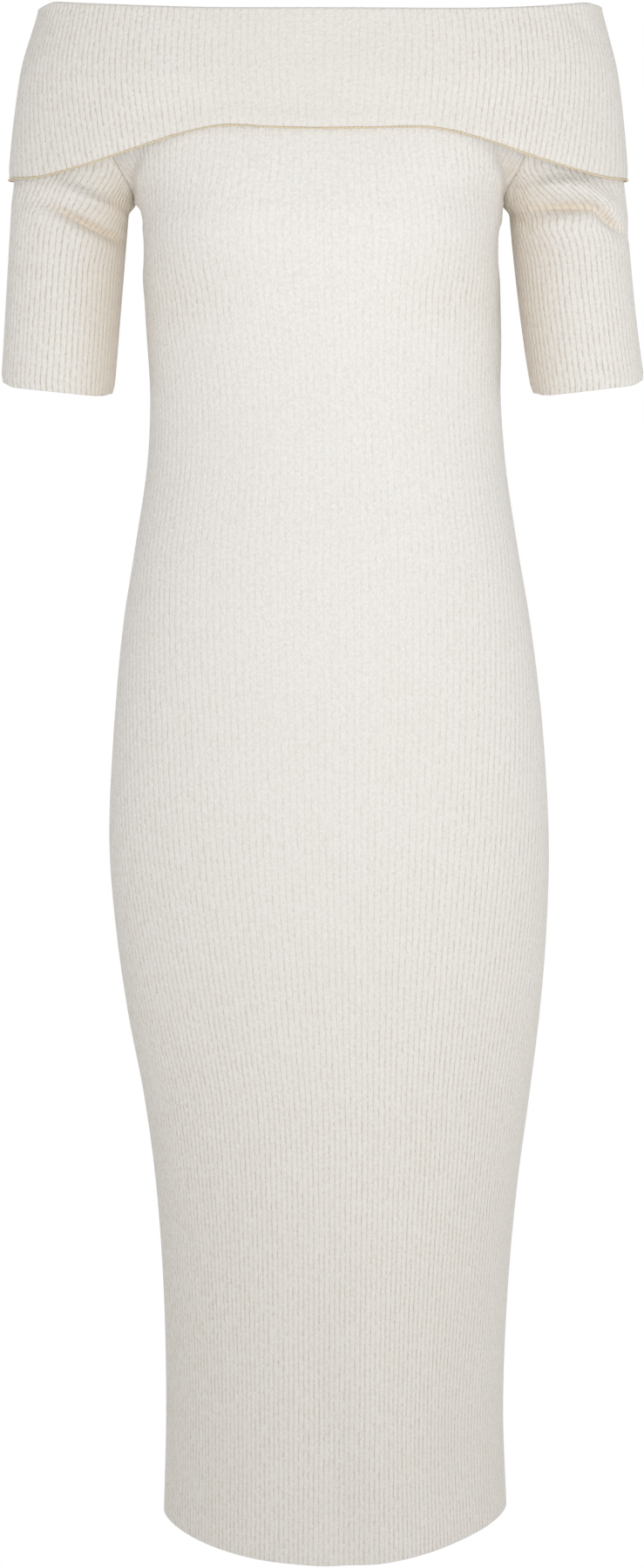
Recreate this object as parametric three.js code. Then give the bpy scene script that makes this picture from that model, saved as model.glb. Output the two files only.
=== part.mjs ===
// An off-shoulder midi dress in ribbed knit, filled out as it is when worn, with nobody in it.
// A front and a back panel meet at the side seams. Two elbow-length sleeves are set into the
// armholes, and a deep collar is sewn to the neckline, stands up inside it and folds down outside.
// Millimetres, +Z up. The origin is the middle of the neckline at the top of the fold, the front
// faces -Y and the wearer's left arm is on +X.
import * as THREE from "three";

// The knit.
const WALL = 2.2; // thickness of the cloth at the top of a rib
const RIB_DEPTH = 0.7; // a groove between two ribs lies this far below their tops
const SEAM_GAP = 0.3; // between two sewn pieces
const PANEL_RIBS = 70; // ribs across the front above the waist, and as many across the back
const SKIRT_RIBS = 100; // ribs across each panel below the hips, after the widening
const WIDENING_TOP = -390; // ribs are added along the side seams between these two heights
const WIDENING_END = -780;
const SLEEVE_RIBS = 62;
const COLLAR_RIBS = 208;

// Heights.
const HEM = -1120;
const NECK_SEAM = -24; // the collar is sewn on here, below the fold and inside the flap
const ARMPIT = -144;
const COVERED = -82; // above this the flap hides the panels, so they are left plain

// The neckline dips in the middle, most at the front, and the dip fades out downwards.
const FRONT_DIP = 13.4;
const BACK_DIP = 6;
const DIP_REACH = 150;
const DIP_HALF = 202;
const DIP_BLEND = 30;

// The hem sags a little between the side seams and rises towards the wearer's left.
const HEM_SAG = 4;
const HEM_RISE = 0.018; // for each millimetre sideways
const HEM_REACH = 120;

// Level sections of the dress: half is the half width, front and back are the depths from the
// middle, and sway is how far the section hangs to the wearer's left. round is the power of the
// superellipse that joins them, and under 2 it pinches the sides and leaves the middle round.
const SECTIONS = [
  { z: 0, half: 198.4, front: 92, back: 95, round: 2.2, sway: 0 },
  { z: -30, half: 205.6, front: 97, back: 98, round: 2.2, sway: 0 },
  { z: -60, half: 180, front: 102, back: 100, round: 2.08, sway: 0 },
  { z: -107, half: 150, front: 110, back: 101, round: 2, sway: 0 },
  { z: ARMPIT, half: 136.7, front: 114, back: 100, round: 2, sway: 0 },
  { z: -158, half: 128.3, front: 115, back: 99, round: 2, sway: 1.7 },
  { z: -180, half: 127.8, front: 112, back: 97, round: 2, sway: 1.9 },
  { z: -200, half: 129.2, front: 107, back: 94, round: 2, sway: 2.5 },
  { z: -240, half: 128.6, front: 98, back: 88, round: 2, sway: 4.1 },
  { z: -280, half: 127.6, front: 92, back: 84, round: 2, sway: 4.8 },
  { z: -330, half: 130.9, front: 92, back: 84, round: 2, sway: 5.4 },
  { z: -390, half: 140.2, front: 97, back: 94, round: 2, sway: 5.4 },
  { z: -448, half: 149.9, front: 101, back: 107, round: 2, sway: 5.8 },
  { z: -520, half: 157.9, front: 104, back: 118, round: 2, sway: 6.8 },
  { z: -604, half: 162.8, front: 107, back: 121, round: 2, sway: 7.4 },
  { z: -670, half: 160.2, front: 108, back: 118, round: 1.98, sway: 9 },
  { z: -735, half: 153.6, front: 109, back: 114, round: 1.93, sway: 11 },
  { z: -800, half: 144, front: 110, back: 111, round: 1.87, sway: 13.2 },
  { z: -868, half: 135.6, front: 111, back: 110, round: 1.81, sway: 13.2 },
  { z: -950, half: 129.8, front: 111, back: 110, round: 1.73, sway: 12.5 },
  { z: -1040, half: 127.9, front: 111.5, back: 111, round: 1.63, sway: 11.8 },
  { z: HEM, half: 130.6, front: 112.5, back: 112, round: 1.55, sway: 12.2 },
];

// The shoulders above the armpit: out is the outside of the sleeve, seam the half width at which
// the armhole seam lies, and spread goes from a round arm, 0, to the neckline's one long oval, 1.
const SHOULDERS = [
  { z: 0, out: 198.4, seam: 176, spread: 1 },
  { z: -30, out: 205.6, seam: 173, spread: 1 },
  { z: -60, out: 212, seam: 166, spread: 0.5 },
  { z: -85, out: 215.6, seam: 157, spread: 0.19 },
  { z: -107, out: 218.2, seam: 149, spread: 0.075 },
  { z: -130, out: 220.6, seam: 141, spread: 0.02 },
  { z: ARMPIT, out: 222.2, seam: 137, spread: 0 },
];

// The sleeve below the armpit is a round tube that leans out from the body, and bows on one side.
const ARM_CENTRE = 179.6;
const ARM_HALF = 42.6;
const ARM_DEPTH = 45;
const ARM_HALF_AT_CUFF = 41;
const LEFT_LEAN = { lean: 0.082, bow: 0.0003 };
const RIGHT_LEAN = { lean: 0.08, bow: 0 };
const CUFF = -275.2; // height of the middle of the cuff
const CUFF_TILT = 0.12; // the cuff is about square to the leaning arm

// The outer face of the flap.
const FLAP = [
  { z: 0, half: 202.3, front: 95, back: 98, round: 2.2 },
  { z: -22, half: 208.2, front: 98.9, back: 100.8, round: 2.18 },
  { z: -46, half: 214.4, front: 103.6, back: 103.6, round: 2.12 },
  { z: -71, half: 218.4, front: 108.5, back: 106, round: 2.05 },
  { z: -96, half: 221.3, front: 114.5, back: 108, round: 1.98 },
  { z: -126, half: 223.9, front: 119, back: 109, round: 1.94 },
];

// How far down the flap's edge lies, before the dip, at a distance out from the middle.
const FLAP_EDGE = [
  { out: 0, front: -91.2, back: -98 },
  { out: 34, front: -90.4, back: -97.5 },
  { out: 66, front: -88.6, back: -98 },
  { out: 88, front: -91.8, back: -100.5 },
  { out: 114, front: -98.6, back: -105 },
  { out: 147, front: -110.4, back: -112.5 },
  { out: 176, front: -119.7, back: -119.5 },
  { out: 202, front: -125.4, back: -124.5 },
  { out: 224, front: -124.6, back: -124.6 },
];
const FLAP_EDGE_SHIFT = 3; // the edge's middle lies this far to the wearer's left
const FLAP_ROOM = 0.8; // between the flap and the layer under it, and inside the fold

// Soft shapes in the panels: each is a rounded ridge, or a trough where its height is negative,
// centred at x and z, turned by angle degrees from level, with its reach along and across.
const FRONT_SHAPES = [
  { x: -78, z: -150, angle: 0, along: 48, across: 54, height: 9 },
  { x: 78, z: -150, angle: 0, along: 48, across: 54, height: 9 },
  { x: -10, z: -1040, angle: 84, along: 95, across: 20, height: -2.5 },
  { x: 46, z: -1020, angle: 95, along: 120, across: 22, height: 2.5 },
];
const BACK_SHAPES = [
  { x: 38, z: -1030, angle: 86, along: 110, across: 20, height: -2.5 },
  { x: -24, z: -1010, angle: 94, along: 100, across: 22, height: 2.2 },
];
const LEFT_SLEEVE_SHAPES = {
  front: [
    { x: 176, z: -146, angle: -20, along: 30, across: 11, height: 2.4 },
    { x: 190, z: -168, angle: -22, along: 26, across: 10, height: -2 },
  ],
  back: [
    { x: 178, z: -148, angle: -14, along: 26, across: 11, height: 2.2 },
    { x: 184, z: -169, angle: -8, along: 24, across: 10, height: -1.8 },
  ],
};
const RIGHT_SLEEVE_SHAPES = {
  front: [
    { x: -172, z: -146, angle: -28, along: 28, across: 11, height: 2.5 },
    { x: -180, z: -168, angle: -24, along: 26, across: 10, height: -2 },
  ],
  back: [
    { x: -176, z: -147, angle: 18, along: 26, across: 11, height: 2 },
    { x: -182, z: -168, angle: 12, along: 24, across: 10, height: -1.8 },
  ],
};
const SHAPE_FADE = 26; // shapes die away over this length before a seam

// Levels at which the solids have a row of points.
const PANEL_LEVELS = [
  HEM, -950, -800, -700, -604, -490, -390, -330, -274, -205, -158, ARMPIT, -126, -96,
];
const SLEEVE_LEVELS = [CUFF, -174, -158, ARMPIT, -126, -96];
const COVERED_LEVELS = [COVERED, -60, NECK_SEAM];
const FLAP_LEVELS = [0.12, 0.42, 1]; // as shares of the way from the fold to the edge
const TRACE_POINTS = 120; // points traced along each half outline before it is divided
const RING_POINTS = 480; // and round the whole neckline or flap
const PANEL_DIVISIONS = 16; // across the plain inside of a panel
const SLEEVE_DIVISIONS = 14;
const FOLD_STEPS = 4;
const END_MARGIN = 0.9; // no rib starts nearer than this to a seam
const LONGEST_MITRE = 2; // in walls

const IVORY = 0xece7dc;

// A column of a table whose rows are sorted by another column, on a smooth curve through the rows.
function curveThrough(table, sortedBy, column, value) {
  const last = table.length - 1;
  const sign = Math.sign(table[last][sortedBy] - table[0][sortedBy]);
  const reached = (n) => sign * (value - table[n][sortedBy]) >= 0;
  if (!reached(0)) return table[0][column];
  if (reached(last)) return table[last][column];
  const i = table.findIndex((row, n) => !reached(n + 1));
  const [before, start, end, after] = [i - 1, i, i + 1, i + 2].map(
    (n) => table[THREE.MathUtils.clamp(n, 0, last)],
  );
  const span = end[sortedBy] - start[sortedBy];
  const t = (value - start[sortedBy]) / span;
  const startSlope = ((end[column] - before[column]) / (end[sortedBy] - before[sortedBy])) * span;
  const endSlope = ((after[column] - start[column]) / (after[sortedBy] - start[sortedBy])) * span;
  return (
    (2 * t ** 3 - 3 * t ** 2 + 1) * start[column] +
    (t ** 3 - 2 * t ** 2 + t) * startSlope +
    (3 * t ** 2 - 2 * t ** 3) * end[column] +
    (t ** 3 - t ** 2) * endSlope
  );
}

// The same at height z, for a table of heights.
function columnAt(table, column, z) {
  return curveThrough(table, "z", column, z);
}

// The sum of the soft shapes at x and z.
function shapeHeight(shapes, x, z) {
  return shapes.reduce((sum, shape) => {
    const angle = THREE.MathUtils.degToRad(shape.angle);
    const along = (x - shape.x) * Math.cos(angle) + (z - shape.z) * Math.sin(angle);
    const across = (z - shape.z) * Math.cos(angle) - (x - shape.x) * Math.sin(angle);
    return sum + shape.height * Math.exp(-((along / shape.along) ** 2) - (across / shape.across) ** 2);
  }, 0);
}

// Lowers a point by the neckline's dip, or moves it with the hem's sag and rise.
function dipped(point) {
  const neckReach = THREE.MathUtils.clamp((point.z + DIP_REACH) / DIP_REACH, 0, 1);
  const inward = Math.max(0, 1 - (point.x / DIP_HALF) ** 4);
  const frontness = THREE.MathUtils.smoothstep(-point.y, -DIP_BLEND, DIP_BLEND);
  const dip = THREE.MathUtils.lerp(BACK_DIP, FRONT_DIP, frontness) * neckReach * inward;
  const hem = SECTIONS[SECTIONS.length - 1];
  const hemReach = THREE.MathUtils.clamp((HEM + HEM_REACH - point.z) / HEM_REACH, 0, 1);
  const aside = point.x - hem.sway;
  const sag = HEM_SAG * (1 - (aside / hem.half) ** 2) - HEM_RISE * aside;
  return new THREE.Vector3(point.x, point.y, point.z - dip - sag * hemReach);
}

// The shoulder's half oval at height z: its centre, half width, depths and power.
function shoulderOval(z) {
  const spread = THREE.MathUtils.clamp(columnAt(SHOULDERS, "spread", z), 0, 1);
  const centre = ARM_CENTRE * (1 - spread);
  return {
    centre,
    half: columnAt(SHOULDERS, "out", z) - centre,
    front: THREE.MathUtils.lerp(ARM_DEPTH, columnAt(SECTIONS, "front", z), spread),
    back: THREE.MathUtils.lerp(ARM_DEPTH, columnAt(SECTIONS, "back", z), spread),
    round: THREE.MathUtils.lerp(2, columnAt(SECTIONS, "round", z), spread),
    tilt: 0,
  };
}

// The sleeve's own oval below the armpit. Its plane tilts until it is that of the cuff.
function armOval(hand, z) {
  const down = (ARMPIT - z) / (ARMPIT - CUFF);
  const { lean, bow } = hand > 0 ? LEFT_LEAN : RIGHT_LEAN;
  return {
    centre: ARM_CENTRE + lean * (ARMPIT - z) + bow * (ARMPIT - z) ** 2,
    half: THREE.MathUtils.lerp(ARM_HALF, ARM_HALF_AT_CUFF, down),
    front: ARM_DEPTH,
    back: ARM_DEPTH,
    round: 2,
    tilt: CUFF_TILT * down,
  };
}

// Half the angle that the sleeve spans round its oval, from the outside of the arm to the seam.
function seamAngle(z, oval) {
  if (z <= ARMPIT) return Math.PI;
  const share = (columnAt(SHOULDERS, "seam", z) - oval.centre) / oval.half;
  return Math.acos(Math.sign(share) * Math.abs(share) ** (oval.round / 2));
}

// How far the armhole seam lies in front of the middle, or behind it.
function seamDepth(z, side) {
  if (z <= ARMPIT) return 0;
  const oval = shoulderOval(z);
  return oval[side] * Math.sin(seamAngle(z, oval)) ** (2 / oval.round);
}

// The lengths run along a line of points, and its outward directions.
function traced(points) {
  const run = [0];
  points.forEach((point, i) => {
    if (i > 0) run.push(run[i - 1] + point.distanceTo(points[i - 1]));
  });
  const outward = points.map((point, i) => {
    const ahead = points[Math.min(i + 1, points.length - 1)];
    const behind = points[Math.max(i - 1, 0)];
    return new THREE.Vector3(ahead.y - behind.y, behind.x - ahead.x, 0).normalize();
  });
  return { points, run, outward, total: run[run.length - 1] };
}

// Moves a traced line out by soft shapes, which fade before the line's ends.
function shaped(line, shapesOf) {
  return traced(
    line.points.map((point, i) => {
      const toSeam = Math.min(line.run[i], line.total - line.run[i]);
      const fade = THREE.MathUtils.smoothstep(toSeam, 0, SHAPE_FADE);
      const height = shapeHeight(shapesOf(point), point.x, point.z);
      return point.clone().addScaledVector(line.outward[i], height * fade);
    }),
  );
}

// The outline of the front or back panel at height z, counterclockwise seen from above.
function panelLine(side, z) {
  const facing = side === "front" ? -1 : 1;
  const depth = columnAt(SECTIONS, side, z);
  const power = columnAt(SECTIONS, "round", z);
  const edge = z <= ARMPIT ? columnAt(SECTIONS, "half", z) : columnAt(SHOULDERS, "seam", z);
  const acrossPower = Math.max(power, 2);
  const reach = edge / (1 - (seamDepth(z, side) / depth) ** power) ** (1 / acrossPower);
  const end = Math.asin((edge / reach) ** (acrossPower / 2));
  const sway = z < ARMPIT ? columnAt(SECTIONS, "sway", z) : 0;
  const points = [];
  for (let i = -TRACE_POINTS; i <= TRACE_POINTS; i += 1) {
    const angle = (Math.abs(i) / TRACE_POINTS) * end;
    const x = Math.sign(i) * reach * Math.sin(angle) ** (2 / acrossPower);
    const y = depth * Math.cos(angle) ** (2 / power);
    points.push(new THREE.Vector3(sway - facing * x, facing * y, z));
  }
  const shapes = side === "front" ? FRONT_SHAPES : BACK_SHAPES;
  return shaped(traced(points), () => shapes);
}

// The outline of a sleeve at height z, from seam to seam, counterclockwise seen from above.
function sleeveLine(hand, z) {
  const oval = z <= ARMPIT ? armOval(hand, z) : shoulderOval(z);
  const end = seamAngle(z, oval);
  const points = [];
  for (let i = -TRACE_POINTS; i <= TRACE_POINTS; i += 1) {
    const angle = (i / TRACE_POINTS) * end;
    const [sine, cosine] = [Math.sin(angle), Math.cos(angle)];
    const across = oval.half * Math.sign(cosine) * Math.abs(cosine) ** (2 / oval.round);
    const depth = angle < 0 ? oval.front : oval.back;
    const y = depth * Math.sign(sine) * Math.abs(sine) ** (2 / oval.round);
    points.push(new THREE.Vector3(hand * (oval.centre + across), y, z + across * oval.tilt));
  }
  if (hand < 0) points.reverse();
  const shapes = hand > 0 ? LEFT_SLEEVE_SHAPES : RIGHT_SLEEVE_SHAPES;
  return shaped(traced(points), (point) => (point.y < 0 ? shapes.front : shapes.back));
}

// The direction, and how much longer than the wall, in which two walls that meet at the seam both
// turn inwards there, so that their insides meet too.
function mitre(first, second) {
  const middle = first.clone().add(second).normalize();
  return middle.multiplyScalar(Math.min(1 / middle.dot(first), LONGEST_MITRE));
}

// The mitres at a panel's two ends.
function panelMitres(side, z, line) {
  const [start, end] = [line.outward[0], line.outward[line.outward.length - 1]];
  if (z <= ARMPIT) return [start, end];
  const [left, right] = [sleeveLine(1, z), sleeveLine(-1, z)];
  const startSleeve = side === "front" ? right : left;
  const endSleeve = side === "front" ? left : right;
  const before = startSleeve.outward[startSleeve.outward.length - 1];
  return [mitre(start, before), mitre(end, endSleeve.outward[0])];
}

// The mitres at a sleeve's two ends.
function sleeveMitres(hand, z, line) {
  const [start, end] = [line.outward[0], line.outward[line.outward.length - 1]];
  if (z <= ARMPIT) return [start, end];
  const [front, back] = [panelLine("front", z), panelLine("back", z)];
  const startPanel = hand > 0 ? front : back;
  const endPanel = hand > 0 ? back : front;
  const before = startPanel.outward[startPanel.outward.length - 1];
  return [mitre(start, before), mitre(end, endPanel.outward[0])];
}

// The point at length s along a line, moved sunk inwards.
function pointAt(line, s, sunk) {
  const next = Math.max(1, line.run.findIndex((length) => length >= s));
  const i = next < 1 ? line.run.length - 1 : next;
  const share = (s - line.run[i - 1]) / (line.run[i] - line.run[i - 1]);
  const point = line.points[i - 1].clone().lerp(line.points[i], share);
  const outward = line.outward[i - 1].clone().lerp(line.outward[i], share).normalize();
  return point.addScaledVector(outward, -sunk);
}

// A row with a point on top of each rib and one in each groove. key counts ribs from the middle.
function ribbedRow(line, pitch) {
  const middle = line.total / 2;
  const most = Math.floor(((middle - END_MARGIN) / pitch) * 2);
  const stops = [{ s: SEAM_GAP / 2, sunk: RIB_DEPTH / 2 }];
  for (let half = -most; half <= most; half += 1) {
    stops.push({ s: middle + (half * pitch) / 2, sunk: half % 2 === 0 ? 0 : RIB_DEPTH });
  }
  stops.push({ s: line.total - SEAM_GAP / 2, sunk: RIB_DEPTH / 2 });
  return stops.map(({ s, sunk }) => ({
    point: pointAt(line, s, sunk),
    key: (s - middle) / pitch,
    share: s / line.total,
  }));
}

// A smooth row of evenly spaced points on the outside.
function plainRow(line, pitch, divisions) {
  return Array.from({ length: divisions + 1 }, (_, i) => {
    const s = SEAM_GAP / 2 + (i / divisions) * (line.total - SEAM_GAP);
    return { point: pointAt(line, s, 0), key: (s - line.total / 2) / pitch, share: s / line.total };
  });
}

// The same on the inside, with its two ends on the mitres.
function insideRow(line, mitres, divisions) {
  const row = Array.from({ length: divisions + 1 }, (_, i) => {
    const s = SEAM_GAP / 2 + (i / divisions) * (line.total - SEAM_GAP);
    return { point: pointAt(line, s, WALL), key: i, share: s / line.total };
  });
  const ends = [line.points[0], line.points[line.points.length - 1]];
  [0, divisions].forEach((at, n) => {
    const along = new THREE.Vector3(-mitres[n].y, mitres[n].x, 0).normalize();
    row[at].point = ends[n]
      .clone()
      .addScaledVector(mitres[n], -WALL)
      .addScaledVector(along, n === 0 ? SEAM_GAP / 2 : -SEAM_GAP / 2);
  });
  return row;
}

// Collects rows of points and the triangles between them, and makes one named mesh of them.
class Wall {
  constructor() {
    this.points = [];
    this.faces = [];
  }

  // Adds a row's points and remembers their numbers.
  row(points) {
    return points.map((entry) => {
      this.points.push(dipped(entry.point));
      return { ...entry, index: this.points.length - 1 };
    });
  }

  // Joins two rows by always stepping along the one that lags, as measured by a key or share.
  join(lower, upper, by) {
    let [i, j] = [0, 0];
    while (i < lower.length - 1 || j < upper.length - 1) {
      const stepLower = i + 1 < lower.length ? lower[i + 1][by] + lower[i][by] : Infinity;
      const stepUpper = j + 1 < upper.length ? upper[j + 1][by] + upper[j][by] : Infinity;
      if (stepLower <= stepUpper) {
        this.faces.push([lower[i].index, lower[i + 1].index, upper[j].index]);
        i += 1;
      } else {
        this.faces.push([lower[i].index, upper[j + 1].index, upper[j].index]);
        j += 1;
      }
    }
  }

  mesh(name) {
    const geometry = new THREE.BufferGeometry();
    const numbers = this.points.flatMap((point) => [point.x, point.y, point.z]);
    geometry.setAttribute("position", new THREE.Float32BufferAttribute(numbers, 3));
    geometry.setIndex(this.faces.flat());
    geometry.computeVertexNormals();
    const knit = new THREE.MeshStandardMaterial({ color: IVORY, roughness: 0.95, metalness: 0 });
    const mesh = new THREE.Mesh(geometry, knit);
    mesh.name = name;
    return mesh;
  }
}

// Closes outer and inner rows, listed upwards, into one thin-walled piece.
function walled(name, outerRows, innerRows) {
  const wall = new Wall();
  const outer = outerRows.map((row) => wall.row(row));
  const inner = innerRows.map((row) => wall.row(row));
  const top = outer.length - 1;
  for (let i = 0; i < top; i += 1) {
    wall.join(outer[i], outer[i + 1], "key");
    wall.join(inner[i + 1], inner[i], "key");
    const rows = [outer[i], outer[i + 1], inner[i], inner[i + 1]];
    const [a, b, c, d] = rows.map((row) => row[0].index);
    wall.faces.push([a, b, d], [a, d, c]);
    const [e, f, g, h] = rows.map((row) => row[row.length - 1].index);
    wall.faces.push([e, h, f], [e, g, h]);
  }
  wall.join(inner[0], outer[0], "share");
  wall.join(outer[top], inner[top], "share");
  return wall.mesh(name);
}

// Ribs across a panel at height z.
function panelRibs(z) {
  const widened = THREE.MathUtils.clamp((WIDENING_TOP - z) / (WIDENING_TOP - WIDENING_END), 0, 1);
  return THREE.MathUtils.lerp(PANEL_RIBS, SKIRT_RIBS, widened);
}

function makePanel(name, side) {
  const levels = [...PANEL_LEVELS, ...COVERED_LEVELS];
  const lines = levels.map((z) => panelLine(side, z));
  const outer = lines.map((line, i) => {
    const pitch = line.total / panelRibs(levels[i]);
    return i < PANEL_LEVELS.length ? ribbedRow(line, pitch) : plainRow(line, pitch, PANEL_DIVISIONS);
  });
  const inner = lines.map((line, i) => {
    return insideRow(line, panelMitres(side, levels[i], line), PANEL_DIVISIONS);
  });
  return walled(name, outer, inner);
}

function makeSleeve(name, hand) {
  const levels = [...SLEEVE_LEVELS, ...COVERED_LEVELS];
  const lines = levels.map((z) => sleeveLine(hand, z));
  const pitch = lines[0].total / SLEEVE_RIBS;
  const outer = lines.map((line, i) =>
    i < SLEEVE_LEVELS.length ? ribbedRow(line, pitch) : plainRow(line, pitch, SLEEVE_DIVISIONS),
  );
  const inner = lines.map((line, i) => {
    return insideRow(line, sleeveMitres(hand, levels[i], line), SLEEVE_DIVISIONS);
  });
  return walled(name, outer, inner);
}

// A closed oval round the shoulders, from the middle of the back counterclockwise.
function ovalLine({ half, front, back, round }, z) {
  const points = [];
  for (let i = 0; i <= RING_POINTS; i += 1) {
    const angle = (i / RING_POINTS) * 2 * Math.PI;
    const [sine, cosine] = [Math.sin(angle), Math.cos(angle)];
    const depth = cosine < 0 ? front : back;
    points.push(
      new THREE.Vector3(
        -half * Math.sign(sine) * Math.abs(sine) ** (2 / round),
        depth * Math.sign(cosine) * Math.abs(cosine) ** (2 / round),
        z,
      ),
    );
  }
  const line = traced(points);
  line.outward[0] = new THREE.Vector3(0, 1, 0);
  line.outward[RING_POINTS] = line.outward[0];
  return line;
}

// The neckline's oval, which the inside of the fold continues upwards.
function neckLine(z) {
  const oval = { half: columnAt(SHOULDERS, "out", z) };
  ["front", "back", "round"].forEach((column) => {
    oval[column] = columnAt(SECTIONS, column, z);
  });
  return ovalLine(oval, z);
}

// How far down the flap's edge lies at a point of its outline, before the dip.
function flapEdge(point) {
  const out = Math.abs(point.x - FLAP_EDGE_SHIFT);
  return curveThrough(FLAP_EDGE, "out", point.y < 0 ? "front" : "back", out);
}

// Where the pieces' own points lie round the neckline, as shares of its length.
function neckShares() {
  const panels = { front: panelLine("front", NECK_SEAM), back: panelLine("back", NECK_SEAM) };
  const sleeve = sleeveLine(1, NECK_SEAM);
  const halfBack = { length: panels.back.total / 2, divisions: PANEL_DIVISIONS / 2 };
  const side = { length: sleeve.total, divisions: SLEEVE_DIVISIONS };
  const front = { length: panels.front.total, divisions: PANEL_DIVISIONS };
  const pieces = [halfBack, side, front, side, halfBack];
  const total = pieces.reduce((sum, piece) => sum + piece.length, 0);
  const shares = [];
  let before = 0;
  pieces.forEach(({ length, divisions }) => {
    for (let i = 0; i < divisions; i += 1) {
      shares.push((before + (length * i) / divisions) / total);
    }
    before += length;
  });
  return shares;
}

// A ring on the flap, a part of the way from the fold to the edge, and sunk into its outer face.
function flapRing(part, shares, sunkAt) {
  const widest = FLAP[FLAP.length - 1];
  const guide = ovalLine(widest, 0);
  return shares.map((share, i) => {
    const z = part * flapEdge(pointAt(guide, share * guide.total, 0));
    const oval = {};
    ["half", "front", "back", "round"].forEach((column) => {
      oval[column] = columnAt(FLAP, column, z);
    });
    const line = ovalLine(oval, z);
    return { point: pointAt(line, share * line.total, sunkAt(i)), share };
  });
}

// A ring on the standing layer inside the neckline, moved out from its line.
function standRing(z, shares, out) {
  const line = neckLine(z);
  return shares.map((share) => ({ point: pointAt(line, share * line.total, -out), share }));
}

// The collar: up its inside, over the fold, down the ribbed flap and back up between the layers.
function makeCollar(name) {
  const shares = neckShares();
  const ribShares = Array.from({ length: COLLAR_RIBS * 2 }, (_, i) => i / (COLLAR_RIBS * 2));
  const foldRadius = WALL + FLAP_ROOM / 2;
  const foldHeight = -foldRadius;
  const rings = [0, -WALL].map((out) => standRing(NECK_SEAM + SEAM_GAP, shares, out));
  rings.push(standRing(foldHeight, shares, -WALL));
  for (let i = 1; i < FOLD_STEPS; i += 1) {
    const angle = (i / FOLD_STEPS) * Math.PI;
    const ring = standRing(foldHeight, shares, FLAP_ROOM / 2 - foldRadius * Math.cos(angle));
    ring.forEach(({ point }) => {
      point.z = foldHeight + foldRadius * Math.sin(angle);
    });
    rings.push(ring);
  }
  FLAP_LEVELS.forEach((part) => {
    rings.push(flapRing(part, ribShares, (i) => (i % 2 === 0 ? 0 : RIB_DEPTH)));
  });
  [...FLAP_LEVELS].reverse().forEach((part) => {
    rings.push(flapRing(part, shares, () => WALL));
  });
  [FLAP_ROOM, 0].forEach((out) => rings.push(standRing(foldHeight, shares, out)));
  const wall = new Wall();
  const rows = rings.map((ring) => {
    const row = wall.row(ring);
    return [...row, { ...row[0], share: 1 }];
  });
  rows.forEach((row, i) => wall.join(rows[(i + 1) % rows.length], row, "share"));
  return wall.mesh(name);
}

const dress = new THREE.Group();
dress.add(
  makePanel("front", "front"),
  makePanel("back", "back"),
  makeSleeve("sleeve_left", 1),
  makeSleeve("sleeve_right", -1),
  makeCollar("collar"),
);

export default dress;
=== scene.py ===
import math

import bpy
import numpy as np
from bpy.props import FloatProperty, FloatVectorProperty, IntProperty, PointerProperty
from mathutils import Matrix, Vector


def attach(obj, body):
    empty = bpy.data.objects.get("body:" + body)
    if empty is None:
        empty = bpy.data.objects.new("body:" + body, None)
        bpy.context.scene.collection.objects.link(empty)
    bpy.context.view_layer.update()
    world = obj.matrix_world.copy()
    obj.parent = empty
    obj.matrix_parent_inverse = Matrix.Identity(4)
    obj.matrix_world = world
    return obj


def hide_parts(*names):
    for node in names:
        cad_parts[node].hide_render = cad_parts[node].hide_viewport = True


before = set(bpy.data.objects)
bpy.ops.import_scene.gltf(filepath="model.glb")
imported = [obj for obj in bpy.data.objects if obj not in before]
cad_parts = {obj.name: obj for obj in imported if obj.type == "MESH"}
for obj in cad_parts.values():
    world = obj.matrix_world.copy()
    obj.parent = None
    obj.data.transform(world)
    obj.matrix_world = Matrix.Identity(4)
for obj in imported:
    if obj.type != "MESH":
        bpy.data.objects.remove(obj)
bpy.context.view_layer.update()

bl_info = {
    "name": "Off-Shoulder Rib Knit Dress",
    "version": (1, 0, 0),
    "blender": (4, 5, 0),
    "location": "3D View > Sidebar > Knit Dress",
    "description": "Knits the pieces of a midi dress with a fold-over collar, and sets up a plain studio",
    "category": "Mesh",
}

# Lengths in this file are millimetres, and a mesh is scaled to metres as it is made.
METRE = 1000.0

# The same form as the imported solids.
HEM = -1120.0
NECK_SEAM = -24.0  # the collar is sewn on here
ARMPIT = -141.5
CUFF = -275.2
BUST = -172.0
PANEL_RIBS, SKIRT_RIBS = 70, 100  # across one panel above the waist and below the hips
WIDENING_TOP, WIDENING_END = -390.0, -780.0  # ribs are added at the side seams between these
FRONT_DIP, BACK_DIP, DIP_REACH, DIP_HALF, DIP_BLEND = 13.4, 6.0, 150.0, 202.0, 30.0
HEM_SAG, HEM_RISE, HEM_REACH = 4.0, 0.018, 120.0
ARM_CENTRE, ARM_HALF, ARM_DEPTH, CUFF_HALF = 179.6, 42.6, 45.0, 41.0
GUSSET, GUSSET_DROP = 2.2, 8.0  # the sleeve reaches in by twice the first at the armpit, and soon no more
CUFF_TILT, CUFF_DROP = {1: 0.115, -1: 0.1}, {1: 0.3, -1: 1.3}  # given
ARM_LEAN = {1: (0.082, 0.0003), -1: (0.08, 0.0)}  # lean, and bow with the square of the drop
FLAP_END = -126.0
FLAP_SHIFT = 3.0  # the flap edge's middle lies this far to the wearer's left
FLAP_ROOM = 0.8  # between the two layers of the collar
SHAPE_FADE = 26.0  # the large soft shapes die away over this length before a seam
CREASE_FADE = 5.0  # and the small creases over this one
SEAM_FADE = 2.6  # the ribs sink to the seam's depth over this one
STAND_ROWS, FOLD_ROWS, FLAP_ROWS = 6, 9, 28  # of the collar
RIB_LEAN, RIB_PULL = {1: 24, -1: 18}, 13  # how far the sleeve's ribs move towards the armhole
THINNED = 0.7  # the flap's edge rolls in by this much
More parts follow.
